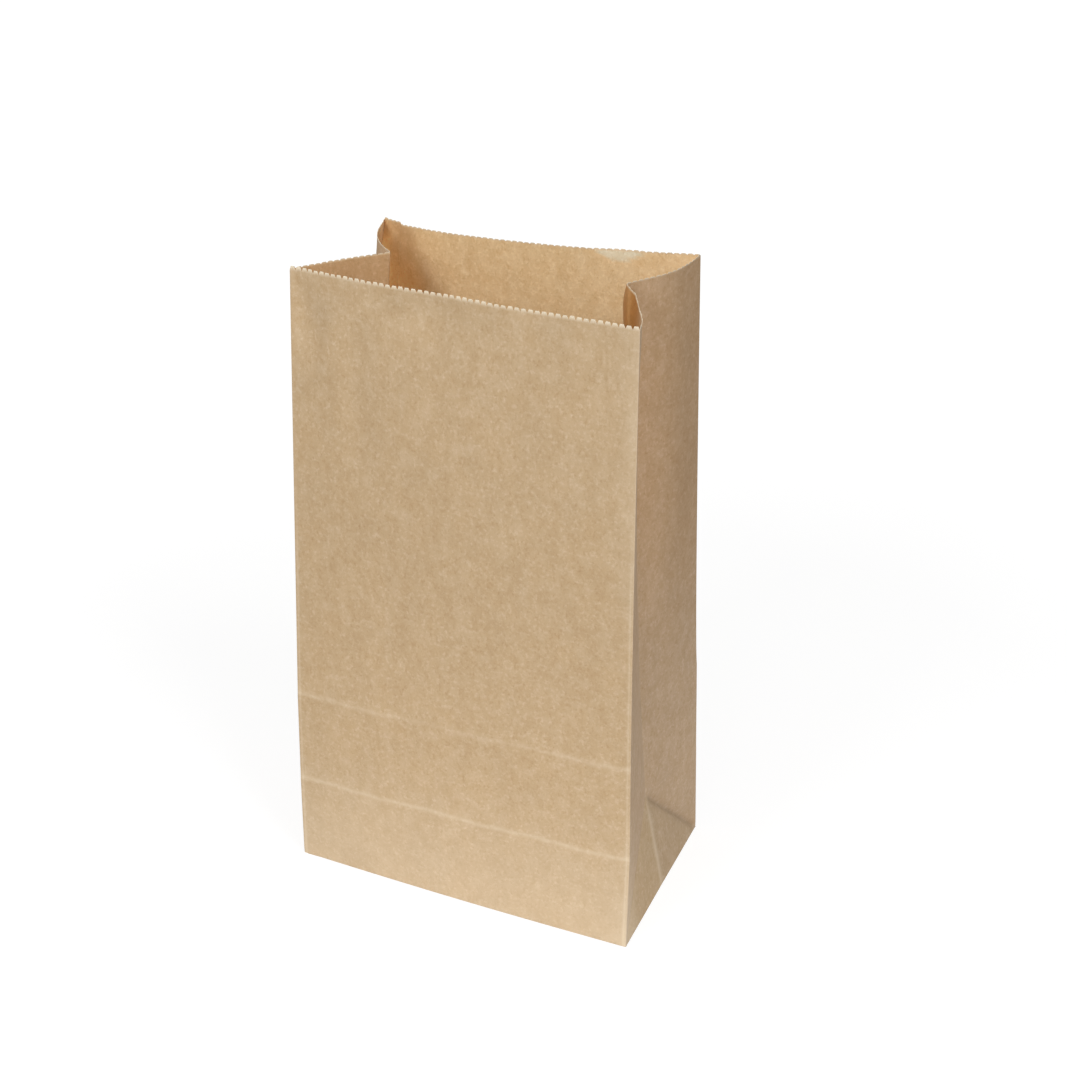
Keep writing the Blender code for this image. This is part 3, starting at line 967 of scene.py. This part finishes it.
@dataclass
class PaperBag:
    """The folded sheet: its walls with the pinked mouth, its bottom and its glued seam."""

    sizes: BagSizes = field(default_factory=BagSizes)
    form: StandingForm = field(default_factory=StandingForm)
    relief: Relief = field(default_factory=Relief)
    wear_and_floor_light: WearAndFloorLight = field(default_factory=WearAndFloorLight)
    painted_light: PaintedLightAndShade = field(default_factory=PaintedLightAndShade)
    fold_stops: tuple[float, ...] = (0.0003, 0.0007, 0.0013, 0.0020)
    mouth_stops: tuple[float, ...] = (0.0, 0.0005, 0.0012, 0.0022, 0.0035, 0.0050)
    row_step: float = 0.0027
    glue: float = 0.00001
    row_clear: float = 0.0015
    rise_span: float = 0.02
    seam_gap: float = 0.0007
    seam_columns: int = 8
    back_tooth_share: float = 0.38
    tooth_fade: float = 0.030

    def near_folds(self, start: float, end: float, count: int) -> list[float]:
        """Even stops from start to end, with closer ones beside both ends."""
        fine = [start + stop for stop in self.fold_stops] + [end - stop for stop in self.fold_stops]
        clear = self.fold_stops[-1] * 1.3
        even = [stop for stop in evened(start, end, count) if start + clear < stop < end - clear]
        return sorted([start, *fine, *even])

    def columns(self) -> list[float]:
        """Where the columns of faces stand along the girth, once round."""
        sizes = self.sizes
        stops: list[float] = []
        start = 0.0
        for _ in range(2):
            stops += self.near_folds(start, start + sizes.width, sizes.panel_teeth)
            start += sizes.width
            for _ in range(2):
                stops += self.near_folds(start, start + sizes.half, 2 * sizes.half_gusset_teeth)
                start += sizes.half
        return stops

    def tooth_marks(self) -> list[float]:
        """Where one tooth ends and the next starts along the girth, once round."""
        sizes = self.sizes
        marks: list[float] = []
        start = 0.0
        for _ in range(2):
            for width, count in ((sizes.width, sizes.panel_teeth), (sizes.depth, 2 * sizes.half_gusset_teeth)):
                marks += evened(start, start + width, count)[:-1]
                start += width
        return marks

    def rows(self) -> list[float]:
        """How far up the sheet the rows of faces stand, below the pinked edge."""
        sizes = self.sizes
        low = self.near_folds(0.0, sizes.half, 2 * sizes.half_gusset_teeth)
        middle = self.near_folds(sizes.half, sizes.depth, sizes.half_gusset_teeth)
        top = sizes.height - sizes.tooth_depth
        mouth = [top - stop for stop in self.mouth_stops[1:]]
        count = round((mouth[-1] - sizes.depth) / self.row_step)
        high = self.near_folds(sizes.depth, mouth[-1], count)
        high = [row for row in high if row < mouth[-1] - self.row_clear]
        return sorted(low + middle + high + mouth)

    def grid(self, s: Array, v: Array, inwards: float = 0.0) -> Array:
        """Points of the finished surface, its relief included.

        Args:
            s: Ways along the girth.
            v: Ways up the sheet.
            inwards: How far inside the outer face the points lie.

        Returns:
            One point for each pair.
        """
        step = 0.0005
        places = self.form.soft(s, v)
        across = self.form.soft(s + step, v) - self.form.soft(s - step, v)
        upward = self.form.soft(s, np.minimum(v + step, self.sizes.height)) - self.form.soft(s, v - step)
        outward = unit(np.cross(across, upward))
        return places + outward * (self.relief.height(s, v) - inwards)[:, None]

    def values(self, s: Array, v: Array, mouth: Array) -> dict[str, Array]:
        """What the points hold for the teeth and for the finish."""
        step = 0.001
        along = unit(self.form.soft(s + step, v) - self.form.soft(s - step, v))
        rise = unit(self.form.soft(s, v) - self.form.soft(s, v - step))
        # both faces carry painted light and shade, and the rubbed share also carries painted floor light at the foot
        return {"mouth": mouth, "reach": self.tooth_share(s), "along": along, "rise": rise,
                "worn": self.wear_and_floor_light.share(s, v), "pinked": VALLEY_CUT * mouth, "lining": self.painted_light.inner(s, v),
                "outside": self.painted_light.outer(s, v)}

    def tooth_share(self, s: Array) -> Array:
        """How tall the teeth stand: the knife bit less deep round the back."""
        sizes = self.sizes
        past_front = np.abs(s - sizes.width / 2) - sizes.width / 2
        return 1.0 - (1.0 - self.back_tooth_share) * smooth_step(0.0, self.tooth_fade, past_front)

    def strip(self, parts: MeshParts, columns: list[float], closed: bool, marks: list[float], rise: float,
              inwards: float) -> None:
        """Adds a part of the wall, with its top row at the valleys between the teeth.

        Args:
            parts: What it is added to.
            columns: Where its columns of points stand along the girth.
            closed: Whether the last column is followed by the first.
            marks: Where its teeth meet, each on a column.
            rise: How much higher than the wall it ends.
            inwards: How far inside the outer face it lies.
        """
        rows = self.rows()
        top = rows[-1]
        rows = [row + rise * float(smooth_step(top - self.rise_span, top, np.array(row))) for row in rows]
        s, v = (values.ravel() for values in np.meshgrid(columns, rows))
        wide, count = len(columns), len(columns) * len(rows)
        faces = []
        for j in range(len(rows) - 1):
            for i in range(wide if closed else wide - 1):
                a, b = j * wide + i, j * wide + (i + 1) % wide
                quad = [a, b, b + wide, a + wide]
                faces.append(quad if self.rises(columns[i]) else quad[1:] + quad[:1])
        last = count - wide
        ends = [*marks[1:], self.sizes.girth] if closed else marks[1:]
        for k, after in enumerate(ends):
            below = [last + i for i, stop in enumerate(columns) if marks[k] - CLOSE <= stop < after - CLOSE]
            faces.append([*below, last + (below[-1] - last + 1) % wide, count + (k + 1) % len(marks), count + k])
        all_s = np.concatenate([s, marks])
        all_v = np.concatenate([v, np.full(len(marks), self.sizes.height - self.sizes.tooth_depth + rise)])
        mouth = (np.arange(len(all_s)) >= count).astype(float)
        parts.add(self.grid(all_s, all_v, inwards), faces, **self.values(all_s, all_v, mouth))

    def walls(self, parts: MeshParts) -> None:
        """Adds the four walls."""
        self.strip(parts, self.columns(), True, self.tooth_marks(), 0.0, 0.0)

    def seam(self, parts: MeshParts) -> None:
        """Adds the glued lap, which lies inside the back panel beside the back-left corner."""
        sizes = self.sizes
        columns = evened(sizes.back_end - sizes.seam_lap, sizes.back_end - self.seam_gap, self.seam_columns)
        marks = columns[::2]
        self.strip(parts, columns, False, marks, sizes.seam_rise, sizes.paper + self.glue)

    def rises(self, s: float) -> bool:
        """Whether a face at this place is split on its rising diagonal, as the foot's creases run."""
        sizes = self.sizes
        for start in (sizes.width, sizes.back_end):
            if start + sizes.half - CLOSE <= s < start + sizes.depth:
                return False
        return True

    def bottom(self, parts: MeshParts) -> None:
        """Adds the flat bottom inside the feet of the walls."""
        s = np.array(self.columns())
        zero = np.zeros(len(s))
        parts.add(self.grid(s, zero), [list(range(len(s)))[::-1]], **self.values(s, zero, zero))

    def make(self, material: bpy.types.Material) -> bpy.types.Object:
        """The finished bag as one plain mesh.

        Args:
            material: The paper's finish.

        Returns:
            The object, at the origin.
        """
        parts = MeshParts()
        self.walls(parts)
        self.bottom(parts)
        self.seam(parts)
        return finished_paper(parts, "lunch_bag", PinkedEdge(depth=self.sizes.tooth_depth), material)


@dataclass
class BottomFlaps:
    """The two long flaps that close the bottom, glued one over the other under the bag."""

    sizes: BagSizes = field(default_factory=BagSizes)
    tooth_share: float = 0.9

    def outline(self) -> tuple[list[tuple[float, float]], int]:
        """A flap that is rooted at the back, and how many of its points are on the cut edge."""
        sizes = self.sizes
        reach = sizes.half + sizes.flap_lap / 2
        half_edge = sizes.width / 2 - reach
        count = max(1, round(2 * half_edge / (sizes.width / sizes.panel_teeth)))
        valley = sizes.tooth_depth - sizes.flap_lap / 2
        edge = [(half_edge * (1 - 2 * i / count), valley) for i in range(count + 1)]
        root_x, root_y = sizes.width / 2 - sizes.flap_inset, sizes.half - sizes.flap_inset
        return [(-root_x, root_y), (root_x, root_y), *edge], count + 1

    def flap(self, parts: MeshParts, turn: int, level: float) -> None:
        """Adds a flap. The turn of -1 brings it round to the front."""
        outline, cut = self.outline()
        places = np.array([(turn * x, turn * y, level) for x, y in outline])
        count = len(places)
        mouth = (np.arange(count) >= count - cut).astype(float)
        along, rise = np.tile((turn, 0.0, 0.0), (count, 1)), np.tile((0.0, -turn, 0.0), (count, 1))
        parts.add(places, [list(range(count))], mouth=mouth, reach=np.full(count, self.tooth_share),
                  along=along.astype(float), rise=rise.astype(float), worn=np.zeros(count),
                  pinked=VALLEY_CUT * mouth, lining=np.ones((count, 3)), outside=np.ones((count, 3)))

    def make(self, material: bpy.types.Material) -> bpy.types.Object:
        """Both flaps as one plain mesh.

        Args:
            material: The paper's finish.

        Returns:
            The object, at the origin.
        """
        parts = MeshParts()
        self.flap(parts, -1, self.sizes.paper)
        self.flap(parts, 1, 0.0)
        return finished_paper(parts, "bottom_flaps", PinkedEdge(depth=self.sizes.tooth_depth, lean_deg=0.0), material)


def finished_paper(parts: MeshParts, name: str, edge: PinkedEdge, material: bpy.types.Material) -> bpy.types.Object:
    """Gives the paper its teeth and its thickness, and paints light and shade on its two faces.

    Args:
        parts: The outer face, with what its points hold.
        name: The piece's name.
        edge: Its teeth.
        material: The paper's finish.

    Returns:
        A plain mesh object at the origin.
    """
    source = parts.make(name + "_source")
    source.data.materials.append(material)
    edge.add_to(source, material)
    graph = bpy.context.evaluated_depsgraph_get()
    face = bpy.data.meshes.new_from_object(source.evaluated_get(graph))
    source.modifiers.clear()
    source.data = face
    paper = source.modifiers.new("Paper", "SOLIDIFY")
    paper.thickness = BagSizes.paper
    paper.offset = -1
    outer = len(face.vertices)  # Solidify keeps these first, then adds the inner face's, then the cut edges'
    lining, outside = np.zeros(3 * outer, np.float32), np.zeros(3 * outer, np.float32)
    face.attributes["lining"].data.foreach_get("vector", lining)
    face.attributes["outside"].data.foreach_get("vector", outside)
    outside[outside < UNTINTED] = 1.0
    graph = bpy.context.evaluated_depsgraph_get()
    mesh = bpy.data.meshes.new_from_object(source.evaluated_get(graph))
    bpy.data.objects.remove(source, do_unlink=True)
    # painted light and shade: the outer face's, then the inner face's, and none on the cut edges
    painted_light_factor = mesh.attributes.new("painted_light_factor", "FLOAT_VECTOR", "POINT")
    rim = np.ones(3 * (len(mesh.vertices) - 2 * outer), np.float32)
    painted_light_factor.data.foreach_set("vector", np.concatenate([outside, lining, rim]))
    mesh.name = name
    mesh.shade_smooth()
    mesh.set_sharp_from_angle(angle=math.radians(SHARP_DEG))
    piece = bpy.data.objects.new(name, mesh)
    bpy.context.scene.collection.objects.link(piece)
    return piece


@dataclass(frozen=True)
class SoftBox:
    """A square lamp: its direction from the bag, clockwise from the front and up, how far off, its size and power."""

    name: str
    clockwise_deg: float
    up_deg: float
    away: float
    centre_height: float
    size: float
    power: float

    def make(self, aim: tuple[float, float, float]) -> bpy.types.Object:
        """The lamp, turned to the bag and hidden from the camera.

        Args:
            aim: The middle of the bag.

        Returns:
            The lamp's object.
        """
        data = bpy.data.lights.new(self.name, "AREA")
        data.size = self.size
        data.energy = self.power
        lamp = bpy.data.objects.new(self.name, data)
        turn, up = math.radians(self.clockwise_deg), math.radians(self.up_deg)
        lamp.location = (-math.sin(turn) * math.cos(up) * self.away, -math.cos(turn) * math.cos(up) * self.away,
                         self.centre_height + math.sin(up) * self.away)
        lamp.rotation_euler = (Vector(aim) - lamp.location).to_track_quat("-Z", "Y").to_euler()
        lamp.visible_camera = False
        bpy.context.scene.collection.objects.link(lamp)
        return lamp


@dataclass
class Studio:
    """A white floor, soft light and the camera."""

    azimuth_deg: float = 24.464
    elevation_deg: float = 29.075
    roll_deg: float = -0.732
    aim: tuple[float, float, float] = (-0.010, -0.003, 0.13524)
    slide: tuple[float, float] = (-0.02515, -0.01602)
    distance: float = 0.81498
    focal_px: float = 2000.0
    frame_px: float = 1067.0
    sensor_mm: float = 36.0
    clip_start: float = 0.01
    card_radius: float = 0.24
    card_white: float = 0.92
    table_grey: float = 0.22
    seen_grey: float = 0.30
    near_glow: float = 0.80
    far_glow: float = 0.94
    card_edge: tuple[float, float] = (0.6, 1.4)
    glow_span: tuple[float, float] = (0.3, 1.0)
    floor_reach: float = 6.0
    sky_strength: float = 0.375
    soft_boxes: tuple[SoftBox, ...] = (
        SoftBox("left_front_light", 20.0, 42.0, 0.8, 0.13, 0.35, 2.44),
        SoftBox("right_light", -63.0, 51.0, 1.4, 0.13, 0.5, 7.15),
        SoftBox("low_front_card", -15.0, 2.0, 0.4, 0.03, 0.2, 0.50),
    )

    def camera(self) -> None:
        """Makes the scene's camera at the photograph's place."""
        azimuth, elevation, roll = (math.radians(v) for v in (self.azimuth_deg, self.elevation_deg, self.roll_deg))
        right = Vector((math.cos(azimuth), math.sin(azimuth), 0.0))
        forward = Vector((-math.sin(azimuth) * math.cos(elevation), math.cos(azimuth) * math.cos(elevation),
                          -math.sin(elevation)))
        up = right.cross(forward)
        across = right * math.cos(roll) + up * math.sin(roll)
        upward = up * math.cos(roll) - right * math.sin(roll)
        place = Vector(self.aim) - across * self.slide[0] - upward * self.slide[1] - forward * self.distance
        data = bpy.data.cameras.new("camera")
        data.sensor_width = self.sensor_mm
        data.lens = self.focal_px / self.frame_px * self.sensor_mm
        data.clip_start = self.clip_start
        camera = bpy.data.objects.new("camera", data)
        camera.matrix_world = Matrix.Translation(place) @ Matrix((across, upward, -forward)).transposed().to_4x4()
        bpy.context.scene.collection.objects.link(camera)
        bpy.context.scene.camera = camera

    def floor(self) -> bpy.types.Object:
        """A wide white floor that keeps the bag's shadow. Only a round card near the bag throws much light back."""
        reach, grey, white = self.floor_reach, (*(self.seen_grey,) * 3, 1.0), (1.0, 1.0, 1.0, 1.0)
        mesh = bpy.data.meshes.new("floor")
        mesh.from_pydata([(-reach, -reach, 0), (reach, -reach, 0), (reach, reach, 0), (-reach, reach, 0)], [],
                         [(0, 1, 2, 3)])
        material = bpy.data.materials.new("white_floor")
        material.use_nodes = True
        build = NodeBuilder(material.node_tree)
        build.tree.nodes.clear()
        light_path = build.node("ShaderNodeLightPath")
        place = build.node("ShaderNodeTexCoord").outputs["Object"]
        away = build.vector("LENGTH", place, output="Value")
        start, end = (self.card_radius * share for share in self.card_edge)
        plain = build.node("ShaderNodeBsdfDiffuse", {
            "Color": build.spread(away, start, end, self.card_white, self.table_grey)})
        shadowed = build.node("ShaderNodeBsdfDiffuse", {"Color": grey})
        glow = build.node("ShaderNodeEmission", {
            "Color": white, "Strength": build.spread(away, *self.glow_span, self.near_glow, self.far_glow)})
        seen = build.node("ShaderNodeAddShader", {0: shadowed.outputs[0], 1: glow.outputs[0]})
        direct = build.math("MAXIMUM", light_path.outputs["Is Camera Ray"], light_path.outputs["Is Glossy Ray"])
        direct = build.math("MAXIMUM", direct, light_path.outputs["Is Transmission Ray"])
        choice = build.node("ShaderNodeMixShader", {"Fac": direct, 1: plain.outputs[0], 2: seen.outputs[0]})
        build.node("ShaderNodeOutputMaterial", {"Surface": choice.outputs[0]})
        mesh.materials.append(material)
        floor = bpy.data.objects.new("floor", mesh)
        bpy.context.scene.collection.objects.link(floor)
        return floor

    def world(self) -> None:
        """Even white surroundings that light the bag softly."""
        world = bpy.data.worlds.new("surroundings")
        world.use_nodes = True
        build = NodeBuilder(world.node_tree)
        build.tree.nodes.clear()
        light_path = build.node("ShaderNodeLightPath")
        white = (1.0, 1.0, 1.0, 1.0)
        light = build.node("ShaderNodeBackground", {"Color": white, "Strength": self.sky_strength})
        shown = build.node("ShaderNodeBackground", {"Color": white, "Strength": 1.0})
        choice = build.node("ShaderNodeMixShader", {
            "Fac": light_path.outputs["Is Camera Ray"], 1: light.outputs[0], 2: shown.outputs[0]})
        build.node("ShaderNodeOutputWorld", {"Surface": choice.outputs[0]})
        bpy.context.scene.world = world

    def set_up(self) -> bpy.types.Object:
        """Makes it all.

        Returns:
            The floor.
        """
        bpy.context.scene.view_settings.view_transform = "Standard"
        self.world()
        for soft_box in self.soft_boxes:
            soft_box.make(self.aim)
        self.camera()
        return self.floor()


def main() -> None:
    """Loads the frame, makes the bag around it and sets up the studio."""
    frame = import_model()
    Studio().set_up()
    kraft = KraftPaper().make()
    for maker in (PaperBag(), BottomFlaps()):
        piece = maker.make(kraft)
        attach(piece, BODY)
        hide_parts(NODE)
        log.info("%s: %d faces on body %s of %s", piece.name, len(piece.data.polygons), BODY, sorted(frame["nodes"]))


if __name__ == "__main__":
    main()
